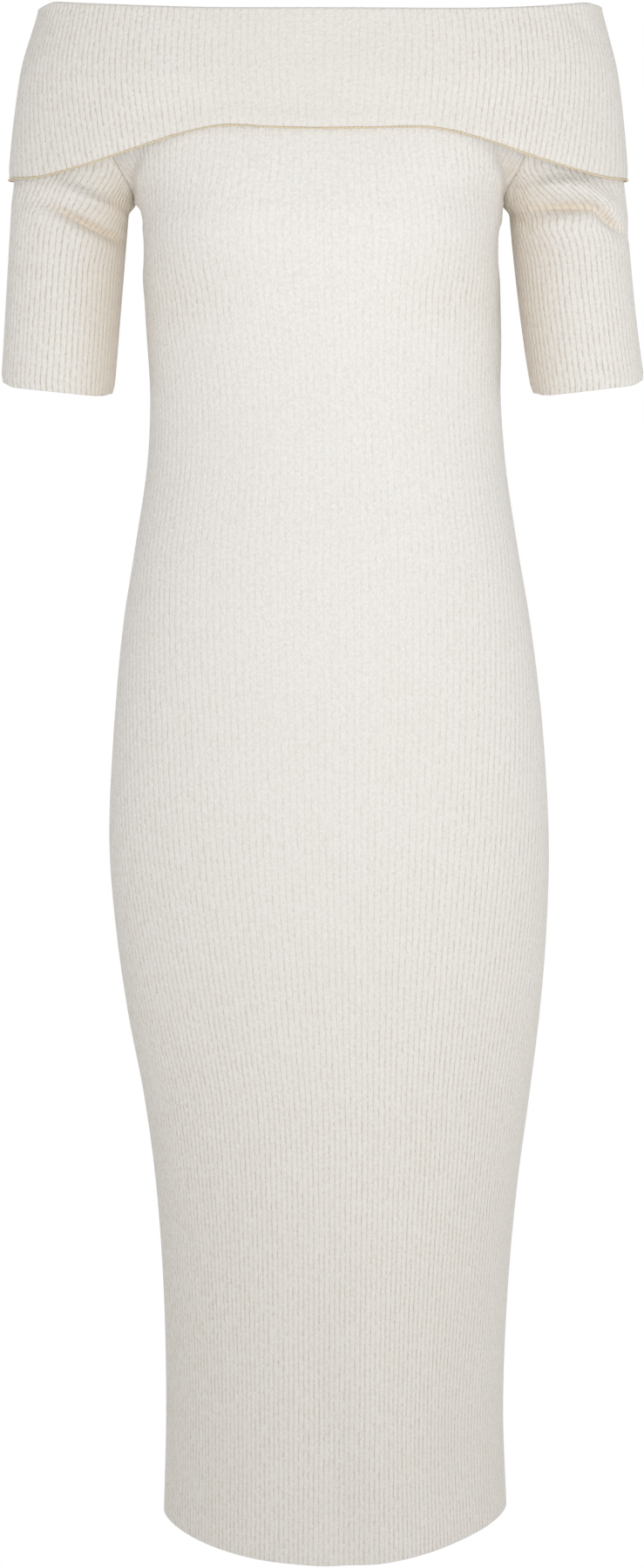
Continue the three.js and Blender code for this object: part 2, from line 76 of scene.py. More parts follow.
EDGE_LENGTH, STITCH_STEPS = 1180, 6  # round the flap, and points along one chain stitch
CREASE_REACH, CREASE_TOP, CREASE_RANGE = 60, 1.6, 5  # shorter ones get painted tan shade below the top

# Levels of the rows: from, to and how many. They lie closest together at the armpits.
PANEL_LEVELS = (
    (NECK_SEAM, -100, 10),
    (-100, ARMPIT, 12),
    (ARMPIT, -175.5, 17),
    (-175.5, -212, 10),
    (-212, HEM, 114),
)
SLEEVE_LEVELS = (NECK_SEAM, -105, 12), (-105, ARMPIT, 15), (ARMPIT, -175.5, 24), (-175.5, CUFF, 38)


def table(names, *rows):
    """Rows of numbers as named columns, sorted by the first."""
    columns = np.array(sorted(rows), float).T
    return dict(zip(names.split(), columns))


SECTIONS = table(
    "z half front back round sway",
    (0, 198.4, 92, 95, 2.2, 0),
    (-30, 205.6, 97, 98, 2.2, 0),
    (-60, 180, 102, 100, 2.08, 0),
    (-107, 150, 110, 101, 2, 0),
    (ARMPIT, 132.6, 114, 100, 2, 0),
    (-158, 130, 115, 99, 2, 1.5),
    (-180, 127.8, 112, 97, 2, 1.9),
    (-200, 129.2, 107, 94, 2, 2.5),
    (-240, 128.6, 98, 88, 2, 4.1),
    (-280, 127.6, 92, 84, 2, 4.8),
    (-330, 130.9, 92, 84, 2, 5.4),
    (-390, 140.2, 97, 94, 2, 5.4),
    (-448, 149.9, 101, 107, 2, 5.8),
    (-520, 157.9, 104, 118, 2, 6.8),
    (-604, 162.8, 107, 121, 2, 7.4),
    (-670, 160.2, 108, 118, 1.98, 9),
    (-735, 153.6, 109, 114, 1.93, 11),
    (-800, 144, 110, 111, 1.87, 13.2),
    (-868, 135.6, 111, 110, 1.81, 13.2),
    (-950, 129.8, 111, 110, 1.73, 12.5),
    (-1040, 127.9, 111.5, 111, 1.63, 11.8),
    (HEM, 130.6, 112.5, 112, 1.55, 12.2),
)
# Under the arms the sides are drawn in by this much more.
PINCH = table(
    "z left right",
    (ARMPIT, 0, 0),
    (-145.3, 5.5, 0),
    (-147.8, 7.4, 0),
    (-151.7, 8.2, 0),
    (-155.5, 8.4, 0.4),
    (-160.6, 6.4, 3),
    (-166, 5.6, 3),
    (-171, 4.4, 1.9),
    (-178, 2.4, 0.7),
    (-190, 0, 0),
)
SHOULDERS = table(
    "z out seam spread",
    (0, 198.4, 176, 1),
    (-30, 205.6, 173, 1),
    (-60, 212, 166, 0.5),
    (-85, 215.6, 157, 0.19),
    (-107, 218.2, 147, 0.075),
    (-121, 219.6, 140, 0.04),
    (-132, 220.9, 134.2, 0.016),
    (ARMPIT, 222.2, 132.6, 0),
)
FLAP = table(
    "z half front back round",
    (0, 202.3, 95, 98, 2.2),
    (-22, 208.2, 98.9, 100.8, 2.18),
    (-46, 214.4, 103.6, 103.6, 2.12),
    (-71, 218.4, 108.5, 106, 2.05),
    (-96, 221.3, 114.5, 108, 1.98),
    (FLAP_END, 223.9, 119, 109, 1.94),
)
FLAP_EDGE = table(
    "out front back",
    (0, -91.2, -98),
    (34, -90.4, -97.5),
    (66, -88.6, -98),
    (88, -91.8, -100.5),
    (114, -98.6, -105),
    (147, -110.4, -112.5),
    (176, -119.7, -119.5),
    (202, -125.4, -124.5),
    (224, -124.6, -124.6),
)

# Soft ridges and troughs: centre x and z, angle in degrees from level, reach along and across, height.
SHAPES = {
    "front": [
        (-78, -150, 0, 48, 54, 9), (78, -150, 0, 48, 54, 9), (-10, -1040, 84, 95, 20, -2.5),
        (46, -1020, 95, 120, 22, 2.5),
    ],
    "back": [(38, -1030, 86, 110, 20, -2.5), (-24, -1010, 94, 100, 22, 2.2)],
    "left front": [
        (172, -131, 0, 24, 6.5, 6.2), (201, -141, -24, 16, 6, 5), (178, -145.5, 0, 26, 5, -6.4),
        (207, -155, -36, 13, 4.2, -5.4), (166, -158, 0, 22, 6, 3),
    ],
    "left back": [(178, -145, -14, 26, 9, 3), (184, -162, -8, 24, 7, -2)],
    "right front": [(-160, -143, -26, 26, 6, 6.8), (-168, -156.5, -26, 28, 4.2, -6.6)],
    "right back": [(-176, -144, 18, 26, 9, 2.8), (-182, -161, 12, 24, 7, -2)],
}
FLAP_CREASES = [(184, -16, -48, 22, 5, -1.2), (-150, -58, 70, 30, 9, -0.7)]
# Where the flap's lower half is pressed in: distance from the middle, reach and depth.
FLAP_PRESS = {"front": ((0, 70, 2.5), (108, 38, 4.5)), "back": ((0, 95, 2.6),)}
# Smaller creases, too fine for the solids.
CREASES = {
    "front": [
        (134, -118, -62, 18, 7, -5), (-133, -120, 62, 17, 6, -3.6), (0, -502, 3, 120, 7, -0.7),
        (10, -516, 3, 110, 8, 0.6), (-74, -204, 8, 44, 13, -1.8), (80, -206, -8, 46, 13, -1.8),
        (12, -1060, 100, 100, 13, -2.6), (38, -1030, 92, 90, 14, 2.0),
        (106, -1035, 92, 90, 18, -3.0),
    ],
    "back": [
        (120, -130, 62, 18, 5, -1.5), (-122, -129, 118, 18, 5, -1.5), (4, -318, 2, 80, 8, -1.2),
        (-6, -338, -3, 70, 9, 0.9), (0, -700, 0, 90, 12, -1.2),
    ],
    "left front": [
        (176, -146.5, -2, 24, 2.4, -2.2), (207, -154.5, -36, 12, 2.4, -1.6),
        (148, -160, -50, 20, 3, -0.8),
    ],
    "left back": [(182, -155, -16, 30, 4, -1.1)],
    "right front": [
        (-167, -155.5, -26, 25, 2.4, -2.3), (-139, -131, -61, 13, 2, -0.9),
        (-150, -166, 40, 16, 3, -0.7),
    ],
    "right back": [(-180, -155, 16, 30, 4, -1.1)],
}


def smooth(value, low, high):
    """0 below low, 1 above high, and a soft cubic step between them."""
    t = np.clip((value - low) / (high - low), 0, 1)
    return t * t * (3 - 2 * t)


def mixed(start, end, share):
    """start where share is 0 and end where it is 1."""
    return start + (end - start) * share


def through(columns, by, name, value):
    """The column on a cubic curve through the rows, whose slope at a row is that of the line between
    the rows on both sides of it. Beyond the ends it stays as it is there."""
    x, y = columns[by], columns[name]
    i = np.clip(np.searchsorted(x, value, "right") - 1, 0, len(x) - 2)
    low, high = np.maximum(np.arange(len(x)) - 1, 0), np.minimum(np.arange(len(x)) + 1, len(x) - 1)
    slope = (y[high] - y[low]) / (x[high] - x[low])
    span = x[i + 1] - x[i]
    t = np.clip((value - x[i]) / span, 0, 1)
    return (
        (2 * t**3 - 3 * t**2 + 1) * y[i]
        + (t**3 - 2 * t**2 + t) * slope[i] * span
        + (3 * t**2 - 2 * t**3) * y[i + 1]
        + (t**3 - t**2) * slope[i + 1] * span
    )


def mounded(shapes, x, z):
    """The sum of round mounds: each is its height times e to the minus square of how far off the
    point lies, counted in the mound's own reach along and across."""
    total = np.zeros(np.broadcast(x, z).shape)
    for centre, level, angle, along, across, height in shapes:
        turn = math.radians(angle)
        far = (x - centre) * math.cos(turn) + (z - level) * math.sin(turn)
        off = (z - level) * math.cos(turn) - (x - centre) * math.sin(turn)
        total = total + height * np.exp(-((far / along) ** 2) - (off / across) ** 2)
    return total


def waves(seed, u, v, sizes):
    """A gentle seeded unevenness between about -1 and 1: the mean of sine waves that run in random
    directions, one for each wavelength."""
    random = np.random.default_rng(seed)
    total = np.zeros(np.broadcast(u, v).shape)
    for size in sizes:
        heading, start = random.uniform(0, 2 * math.pi, 2)
        total = total + np.sin(2 * math.pi * (u * math.cos(heading) + v * math.sin(heading)) / size + start)
    return total / len(sizes)


def dipped(points):
    """Lowers points by the neckline's dip, which is deepest in the middle of the front and fades
    downwards, and moves the hem by its sag and its rise towards the wearer's left."""
    x, y, z = points[..., 0], points[..., 1], points[..., 2]
    reach = np.clip((z + DIP_REACH) / DIP_REACH, 0, 1)
    inward = np.maximum(0, 1 - (x / DIP_HALF) ** 4)
    dip = mixed(BACK_DIP, FRONT_DIP, smooth(-y, -DIP_BLEND, DIP_BLEND)) * reach * inward
    aside = x - SECTIONS["sway"][0]
    sag = HEM_SAG * (1 - (aside / SECTIONS["half"][0]) ** 2) - HEM_RISE * aside
    lowered = points.copy()
    lowered[..., 2] -= dip + sag * np.clip((HEM + HEM_REACH - z) / HEM_REACH, 0, 1)
    return lowered


class Outline:
    """Level lines of points, one in each row, with the length run along each and the directions
    that point out of it."""

    def __init__(self, x, y, z):
        self.points = np.stack(np.broadcast_arrays(x, y, z), -1)
        steps = np.linalg.norm(np.diff(self.points, axis=1), axis=-1)
        self.run = np.concatenate([np.zeros((len(x), 1)), np.cumsum(steps, 1)], 1)
        self.total = self.run[:, -1:]
        padded = np.pad(self.points, ((0, 0), (1, 1), (0, 0)), "edge")
        ahead = padded[:, 2:] - padded[:, :-2]
        out = np.stack([ahead[..., 1], -ahead[..., 0]], -1)
        self.out = out / np.linalg.norm(out, axis=-1, keepdims=True)

    def at(self, rows, lengths, sunk):
        """The points at these lengths along the chosen rows, moved inwards. They are read in one go
        by laying the rows end to end."""
        total = self.total[rows]
        shift = np.arange(len(rows))[:, None] * (total.max() + 1)
        places, asked = (self.run[rows] + shift).ravel(), (np.clip(lengths, 0, total) + shift).ravel()
        values = np.moveaxis(np.concatenate([self.points, self.out], -1)[rows], -1, 0)
        x, y, z, *out = [np.interp(asked, places, v.ravel()).reshape(lengths.shape) for v in values]
        size = np.hypot(*out)
        return np.stack([x - out[0] / size * sunk, y - out[1] / size * sunk, z], -1)

    def shaped(self, name):
        """Moves the lines out by the named soft shapes, and by the creases, which fade later."""
        x, z = self.points[..., 0], self.points[..., 2]
        to_seam = np.minimum(self.run, self.total - self.run)
        facing = np.where(self.points[..., 1] < 0, 0, 1)
        height = 0
        for shapes, fade in ((SHAPES, SHAPE_FADE), (CREASES, CREASE_FADE)):
            sides = [mounded(shapes[side], x, z) for side in shape_names(name)]
            height = height + np.choose(facing, sides) * smooth(to_seam, 0, fade)
        moved = self.points.copy()
        moved[..., :2] += self.out * height[..., None]
        return Outline(moved[..., 0], moved[..., 1], moved[..., 2])


TRACE = np.linspace(-1, 1, 241)


def shoulder_oval(z):
    """The half oval of one shoulder, which goes from a round arm at the armpit to half of the
    neckline's long oval."""
    spread = np.clip(through(SHOULDERS, "z", "spread", z), 0, 1)
    centre = (ARM_CENTRE - GUSSET) * (1 - spread)
    return {
        "centre": centre,
        "half": through(SHOULDERS, "z", "out", z) - centre,
        "front": mixed(ARM_DEPTH, through(SECTIONS, "z", "front", z), spread),
        "back": mixed(ARM_DEPTH, through(SECTIONS, "z", "back", z), spread),
        "round": mixed(2.0, through(SECTIONS, "z", "round", z), spread),
        "tilt": 0 * z,
    }


def arm_oval(hand, z):
    """The sleeve's oval: a leaning round tube below the armpit, the shoulder's oval above it."""
    drop = np.maximum(ARMPIT - z, 0)
    down = drop / (ARMPIT - CUFF)
    lean, bow = ARM_LEAN[hand]
    reach = GUSSET * (1 - smooth(drop, 0, GUSSET_DROP)) - 1.2 * smooth(-z, 268, -CUFF)
    arm = {
        "centre": ARM_CENTRE - np.maximum(reach, 0) + lean * drop + bow * drop**2,
        "half": mixed(ARM_HALF, CUFF_HALF, down) + reach,
        "front": ARM_DEPTH + 0 * z,
        "back": ARM_DEPTH + 0 * z,
        "round": 2.0 + 0 * z,
        "tilt": CUFF_TILT[hand] * down,
    }
    shoulder = shoulder_oval(z)
    return {name: np.where(z <= ARMPIT, arm[name], shoulder[name]) for name in arm}


def seam_angle(z, oval):
    """Half the angle round its oval that a sleeve spans, from the outside of the arm to its seam."""
    share = (through(SHOULDERS, "z", "seam", z) - oval["centre"]) / oval["half"]
    angle = np.arccos(np.clip(np.sign(share) * np.abs(share) ** (oval["round"] / 2), -1, 1))
    return np.where(z <= ARMPIT, math.pi, angle)


def panel_line(side, z):
    """A panel's level lines: half of an oval whose two powers join the half width to the depth, cut
    off at the armholes above the armpit. Just below it only the sides sway, not the middle."""
    facing = -1 if side == "front" else 1
    z = z[:, None]
    oval = shoulder_oval(z)
    seam_depth = np.where(z <= ARMPIT, 0, oval[side] * np.sin(seam_angle(z, oval)) ** (2 / oval["round"]))
    depth, power = through(SECTIONS, "z", side, z), through(SECTIONS, "z", "round", z)
    half, seam = through(SECTIONS, "z", "half", z), through(SHOULDERS, "z", "seam", z)
    edge = np.where(z <= ARMPIT, half, seam)
    across = np.maximum(power, 2)
    reach = edge / (1 - (seam_depth / depth) ** power) ** (1 / across)
    angle = np.abs(TRACE) * np.arcsin(np.minimum((edge / reach) ** (across / 2), 1))
    sway = np.where(z < ARMPIT, through(SECTIONS, "z", "sway", z), 0)
    sway = sway * mixed(np.abs(TRACE) ** 5, 1, smooth(-z, -ARMPIT, 330))
    pinch = np.where(facing * TRACE > 0, through(PINCH, "z", "left", z), -through(PINCH, "z", "right", z))
    sway = sway + pinch * np.abs(TRACE) ** 5
    x = sway - facing * np.sign(TRACE) * reach * np.sin(angle) ** (2 / across)
    y = facing * depth * np.abs(np.cos(angle)) ** (2 / power)
    return Outline(x, y, z).shaped(side)


def sleeve_line(hand, z):
    """A sleeve's level lines from seam to seam, counterclockwise seen from above. They tilt towards
    the cuff."""
    z = z[:, None]
    oval = arm_oval(hand, z)
    angle = TRACE * seam_angle(z, oval) * (1 if hand > 0 else -1)
    sine, cosine = np.sin(angle), np.cos(angle)
    across = oval["half"] * np.sign(cosine) * np.abs(cosine) ** (2 / oval["round"])
    depth = np.where(angle < 0, oval["front"], oval["back"])
    y = depth * np.sign(sine) * np.abs(sine) ** (2 / oval["round"])
    end = smooth(-z, 240, -CUFF)
    level = z + across * oval["tilt"] - CUFF_DROP[hand] * end + 2.5 * end * smooth(np.abs(cosine), 0.75, 1)
    return Outline(hand * (oval["centre"] + across), y, level).shaped("left" if hand > 0 else "right")


def mitre(first, second):
    """The direction between two outward ones, lengthened so that a wall of even thickness on both
    sides of a seam meets on it."""
    middle = first + second
    middle /= np.linalg.norm(middle, axis=-1, keepdims=True)
    return middle / np.maximum((middle * first).sum(-1, keepdims=True), 0.5)


def seam_mitres(z, line, below, before, after):
    """The mitres at the start and the end of a piece's lines: against the lines below that it meets
    at the side or under the arm, and against its two neighbours above the armpit."""
    low = (z <= ARMPIT)[:, None]
    return (
        mitre(line.out[:, 0], np.where(low, below.out[:, -1], before.out[:, -1])),
        mitre(line.out[:, -1], np.where(low, below.out[:, 0], after.out[:, 0])),
    )


# One rib: places across it, from groove to groove, and the share of its full height there.
RIB_PLACES = np.array([-0.5, -0.42, -0.28, 0.0, 0.28, 0.42])
RIB_HEIGHTS = np.array([0.0, 0.58, 0.93, 1.0, 0.93, 0.58])
ACROSS = len(RIB_PLACES)


def rib_columns(half_ribs):
    """Rib numbers and heights for columns that cover this many ribs on both sides of the middle
    one. The last column is a groove."""
    ribs = np.arange(-half_ribs, half_ribs + 1)
    keys = (ribs[:, None] + RIB_PLACES).ravel()
    return np.append(keys, half_ribs + 0.5), np.append(np.tile(RIB_HEIGHTS, len(ribs)), 0.0)


def clipped(lengths, keys, total):
    """Columns past a seam end on it. In each row, the first column past a seam moves onto it, and
    stands for the ones that lie further out."""
    rows = np.arange(len(lengths))
    first, last = (lengths <= 0).sum(1) - 1, (lengths < total).sum(1)
    numbers = np.tile(keys, (len(lengths), 1))
    for end, inner, limit in ((first, first + 1, 0 * total), (last, last - 1, total)):
        share = (limit[:, 0] - lengths[rows, inner]) / (lengths[rows, end] - lengths[rows, inner])
        numbers[rows, end] = mixed(keys[inner], keys[end], share)
    stands = np.clip(np.arange(len(keys)), first[:, None], last[:, None])
    return first, last, numbers, stands


def quads(index):
    """Two triangles for each square of a grid whose rows go down and whose columns go
    counterclockwise round the piece. They face outwards."""
    a, b, c, d = index[:-1, :-1], index[:-1, 1:], index[1:, 1:], index[1:, :-1]
    return np.stack([a, d, c, a, c, b], -1).reshape(-1, 3)


def placed(name, data):
    """A new object in the scene that shows this data."""
    piece = bpy.data.objects.new(name, data)
    bpy.context.scene.collection.objects.link(piece)
    return piece


def make_mesh(name, points, uv, stands, faces, material, looks):
    """One closed mesh from points, their UV places, the point that each stands for and triangles
    between them. Triangles that have shrunk to nothing are left out. Each point also keeps its
    numbers for the material, from 0 to 1."""
    corners = stands[faces]
    whole = (corners != np.roll(corners, 1, 1)).all(1)
    used, index = np.unique(corners[whole], return_inverse=True)
    mesh = bpy.data.meshes.new(name)
    mesh.from_pydata((points[used] / METRE).tolist(), [], index.reshape(-1, 3).tolist())
    layer = mesh.uv_layers.new(name="knit")
    layer.data.foreach_set("uv", uv[faces[whole]].astype(np.float32).ravel())
    for look, values in looks.items():
        kept = mesh.attributes.new(look, "FLOAT", "POINT")
        kept.data.foreach_set("value", np.clip(values[used], 0, 1).astype(np.float32))
    mesh.polygons.foreach_set("use_smooth", np.ones(len(mesh.polygons), bool))
    mesh.materials.append(material)
    mesh.update()
    mesh.validate()
    return placed(name, mesh)


def make_ring(name, grid, u, v, material, looks):
    """The same from a grid whose last row and last column lie on its first ones."""
    index = np.arange(grid[..., 0].size).reshape(grid.shape[:2])
    stands = index.copy()
    stands[-1] = stands[0]
    stands[:, -1] = stands[:, 0]
    uv = np.stack([u, v], -1).reshape(-1, 2)
    return make_mesh(name, dipped(grid.reshape(-1, 3)), uv, stands.ravel(), quads(index), material, looks)


def shape_names(name):
    """The keys of a piece's soft shapes, for its front and its back."""
    return [f"{name} front", f"{name} back"] if f"{name} front" in SHAPES else [name, name]


def creased(name, points):
    """How deep a point lies in the short creases, from 0 at their top to 1 at the end of their range."""
    x, z = points[:, 0], points[:, 2]
    depths = []
    for side in shape_names(name):
        short = [row for row in SHAPES[side] + CREASES[side] if row[-1] < 0 and row[3] < CREASE_REACH]
        depths.append(-mounded(short, x, z))
    deep = np.choose(np.where(points[:, 1] < 0, 0, 1), depths)
    return np.clip((deep - CREASE_TOP) / CREASE_RANGE, 0, 1)


def looks_of(name, points, to_seam):
    """How strong the painted shade in the grooves is, and how much tan tint and painted tan shade the cloth
    gets. In the middle of the chest the groove shade nearly vanishes. It is painted stronger towards the
    side seams, down the skirt, about the armpits and under the bust, and most on the sleeves. The cloth is
    tinted a little tan down the skirt and evenly on the sleeves, and the seams are tan. Painted tan shade
    is strongest between the sleeves and the body, about the armpits, on the sleeves' inner sides, under the
    bust and in creases."""
    x, z = points[:, 0], points[:, 2]
    out = np.abs(x)
    # The armpit and underbust spots mark painted shade; the seam's tan is the seam's own colour.
    armpit = np.exp(-(((out - 139) / 12) ** 2) - ((z + 143) / 18) ** 2)
    under = np.exp(-(((out - 100) / 34) ** 2) - ((z + 208) / 26) ** 2)
    seam = 0.3 * np.exp(-((to_seam / 0.9) ** 2)) * smooth(z, -175, -150)
    # Painted groove shade: strongest at the sides, down the skirt, about the armpits, under the bust and on
    # the sleeves
    if name in ("front", "back"):
        clear = 0.18 + 0.36 * (x / 150) ** 2 + 0.3 * smooth(-z, 420, 900) + 0.3 * armpit + 0.3 * under
        warm = 0.1 * smooth(-z, 300, 1050) + 0.24 * armpit * smooth(z, -158, -134) + 0.06 * under
    else:
        # Painted tan shade on the sleeves' inner sides, which face the body
        inner = smooth(ARM_CENTRE - ARM_LEAN[1][0] * (z - ARMPIT) - out, 4, 44) * smooth(-z, 110, 150)
        clear = 0.6 + 0.3 * armpit
        warm = 0.04 + 0.34 * inner + 0.1 * armpit
    # Painted tan shade in the short creases
    return {"clear": clear, "warm": np.maximum(warm + 0.42 * creased(name, points), seam)}


def wall_layer(line, rows, lengths, keys, sunk, mitres):
    """One side of a wall in these rows: its points, their rib numbers, the columns that they stand
    for, and the columns of its two ends. The ends lie on the seams, moved in along the mitres."""
    first, last, numbers, stands = clipped(lengths, keys, line.total)
    points = line.at(rows, lengths[rows], sunk)
    for end, at, turn in ((first, 0, mitres[0]), (last, -1, mitres[1])):
        row, column = np.arange(len(rows)), end[rows]
        points[row, column] = line.points[rows, at]
        points[row, column, :2] -= turn[rows] * sunk[row, column][:, None]
    return points, numbers[rows], stands[rows], first[rows], last[rows]


def knit_wall(name, line, z, mitres, lengths_at, half_ribs, relief, settings, material):
    """A panel or sleeve as one closed wall: ribs outside, one column a rib inside, and a rounded
    lower rim. The outer wall lies on the line, less the rib's missing height, and the rim is half a
    circle from the outside to the inside. At a seam both pieces sink by the same small depth."""
    wall = settings.wall
    rim = np.linspace(0, math.pi, 7)[1:-1]
    levels = np.arange(len(z))
    rows = np.append(levels, np.full(len(rim), levels[-1]))
    turned = np.append(0.0 * levels, rim)[:, None]
    keys, heights = rib_columns(half_ribs)
    lengths = lengths_at(keys)
    to_seam = np.clip(np.minimum(lengths, line.total - lengths), 0, None)
    depth = relief * (1 - heights) * (1 + 0.18 * waves(5, keys * 9.0, z[:, None], (140, 47, 23)))
    depth = mixed(settings.seam_sink, depth, smooth(to_seam, 0, SEAM_FADE))[rows]
    sunk = depth * (1 + np.cos(turned)) / 2 + wall / 2 * (1 - np.cos(turned))
    outer, numbers, stands, *ends = wall_layer(line, rows, lengths, keys, sunk, mitres)
    outer[..., 2] -= wall / 2 * np.sin(turned)
    plain = lengths[:, ::ACROSS]
    within = wall_layer(line, levels, plain, keys[::ACROSS], np.full(plain.shape, wall), mitres)
    inner, inner_numbers, inner_stands, *inner_ends = within
    index = np.arange(outer[..., 0].size).reshape(outer.shape[:2])
    inner_index = np.arange(inner[..., 0].size).reshape(inner.shape[:2]) + index.size
    faces = [quads(index), quads(inner_index)[:, ::-1]]
    partner = (np.arange(len(keys)) + ACROSS // 2) // ACROSS
    rims = [(index[row], inner_index[row][partner]) for row in (-1, 0)]
    for end, inner_end in zip(ends, inner_ends):
        rims.append((index[np.arange(len(rows)), end], inner_index[rows, inner_end[rows]]))
    for lines, turn in zip(rims, (-1, 1, -1, 1)):
        faces.append(quads(np.stack(lines)[:, ::-1])[:, ::turn])
    kept = np.take_along_axis(index, stands, 1), np.take_along_axis(inner_index, inner_stands, 1)
    stands = np.append(*kept)
    points = np.concatenate([outer.reshape(-1, 3), inner.reshape(-1, 3)])
    uv = np.stack([np.append(numbers, inner_numbers), -points[:, 2] / settings.rib_pitch], -1)
    looks = looks_of(name.split("_")[0], points, np.append(to_seam[rows], to_seam[:, ::ACROSS]))
    return make_mesh(name, dipped(points), uv[stands], stands, np.concatenate(faces), material, looks)


def row_levels(parts, wall):
    """Levels of a wall's rows from the top down. The last row lies half the wall above the end of
    the last part, because the rounded rim starts there."""
    top, end, count = parts[-1]
    parts = (*parts[:-1], (top, end + wall / 2, count))
    return np.unique(np.concatenate([np.linspace(*part) for part in parts]))[::-1]


def make_panel(name, side, settings, material):
    """A panel: ribs at an even pitch from the middle, which is the row's length over the number of
    ribs there. That number grows from the waist to below the hips. Above the bust the ribs draw
    together a little, and the armholes cut off the outer ones."""
    z = row_levels(PANEL_LEVELS, settings.wall)
    line = panel_line(side, z)
    widened = np.clip((WIDENING_TOP - z) / (WIDENING_TOP - WIDENING_END), 0, 1)[:, None]
    pitch = line.total / mixed(PANEL_RIBS, SKIRT_RIBS, widened)
    bust = np.argmin(np.abs(z - BUST))
    pitch[:bust] = pitch[bust] * mixed(1, 0.87, smooth(z[:bust, None], BUST, -88))

    def lengths_at(keys):
        sway = 0.3 * waves(11, keys * 9.0, z[:, None], (210, 90, 61))
        return line.total / 2 + keys * pitch + sway

    other = panel_line("back" if side == "front" else "front", z)
    sleeves = sleeve_line(-1, z), sleeve_line(1, z)
    mitres = seam_mitres(z, line, other, *(sleeves if side == "front" else sleeves[::-1]))
    half_ribs = SKIRT_RIBS // 2 + 2
    side_share = np.abs(rib_columns(half_ribs)[0]) / (PANEL_RIBS / 2)
    raised = 0.4 + 0.4 * np.minimum(side_share, 1) ** 2 + 0.22 * smooth(-z, 420, 800)[:, None]
    relief = settings.relief * raised
    return knit_wall(name, line, z, mitres, lengths_at, half_ribs, relief, settings, material)


def make_sleeve(name, hand, settings, material):
    """A sleeve: ribs at the cuff's pitch. Above the fold under the collar they lean from the outside
    of the arm towards the armhole, and beside the armpit they start to lean lower down."""
    z = row_levels(SLEEVE_LEVELS, settings.wall)
    line = sleeve_line(hand, z)
    pitch = line.total[-1] / settings.sleeve_ribs
    lean = RIB_LEAN[hand] * smooth(z, -156, -114)[:, None]
    pull = RIB_PULL * smooth(z, -190, -130)[:, None]

    def lengths_at(keys):
        sway = 0.3 * waves(17 + hand, keys * 7.0, z[:, None], (110, 53, 37))
        part = np.abs(keys) / (settings.sleeve_ribs / 2)
        leaning = lean * smooth(part, 0, 0.3) * (1 - smooth(part, 0.45, 0.85))
        moved = leaning + pull * smooth(part, 0.4, 0.7)
        return line.total / 2 + keys * pitch + sway + np.sign(keys) * moved

    panels = panel_line("front", z), panel_line("back", z)
    mitres = seam_mitres(z, line, line, *(panels if hand > 0 else panels[::-1]))
    half_ribs = settings.sleeve_ribs // 2 + 1
    return knit_wall(name, line, z, mitres, lengths_at, half_ribs, settings.relief, settings, material)


def ring(columns, z, angle):
    """A level oval at height z, and its outward directions: sideways the half width times the sine
    to a power, and in depth the front or back times the cosine to the same power."""
    power = 2 / through(columns, "z", "round", z)
    sine, cosine = np.sin(angle), np.cos(angle)
    half = through(columns, "z", "half", z)
    depth = np.where(cosine < 0, through(columns, "z", "front", z), through(columns, "z", "back", z))
    x = -half * np.sign(sine) * np.abs(sine) ** power
    y = depth * np.sign(cosine) * np.abs(cosine) ** power
    steep = 2 / power - 1
    slopes = [np.sign(v) * np.abs(v / size) ** steep / size for v, size in ((x, half), (y, depth))]
    out = np.stack(slopes, -1)
    return np.stack([x, y, z + 0 * x], -1), out / np.linalg.norm(out, axis=-1, keepdims=True)


NECK = {name: SECTIONS[name][-5:] for name in ("z", "front", "back", "round")}
NECK["half"] = through(SHOULDERS, "z", "out", NECK["z"])


def collar_angle(share):
    """The oval's angle at a share of the flap edge's length, from the middle of the back."""
    angle = np.linspace(0, 2 * math.pi, 2881)
    points = ring(FLAP, FLAP_END + 0 * angle, angle)[0]
    run = np.append(0, np.cumsum(np.linalg.norm(np.diff(points, axis=0), axis=1)))
    return np.interp(share, run / run[-1], angle)


def flap_edge(angle):
    """How far down the flap's edge lies at this angle, before the dip. Its hump is a little flatter
    on the wearer's left."""
    x, y = ring(FLAP, FLAP_END + 0 * angle, angle)[0][..., :2].T
    out = np.abs(x - FLAP_SHIFT)
    front = through(FLAP_EDGE, "out", "front", out) - 1.1 * np.exp(-(((x - 66) / 20) ** 2))
    return np.where(y < 0, front, through(FLAP_EDGE, "out", "back", out))


def pressed(side, x):
    """How far the lower flap is pressed in. At each place it is the depth times e to minus the
    square of how far off the point lies, counted in the place's reach."""
    places = FLAP_PRESS[side]
    return sum(depth * np.exp(-(((np.abs(x) - place) / reach) ** 2)) for place, reach, depth in places)


def flap_waves(x, y, z):
    """The flap's gentle unevenness, in millimetres outwards, none at the fold. Its lower half is
    pressed in towards the body, and two faint creases run over its front."""
    swing = 0.9 * waves(23, x + 2 * y, 0.6 * z, (260, 131, 83)) * smooth(-z, 4, 60)
    low = smooth(-z, 45, 90)
    front = mounded(FLAP_CREASES, x, z) - pressed("front", x) * low
    return swing + np.where(y < 0, front, -pressed("back", x) * low)


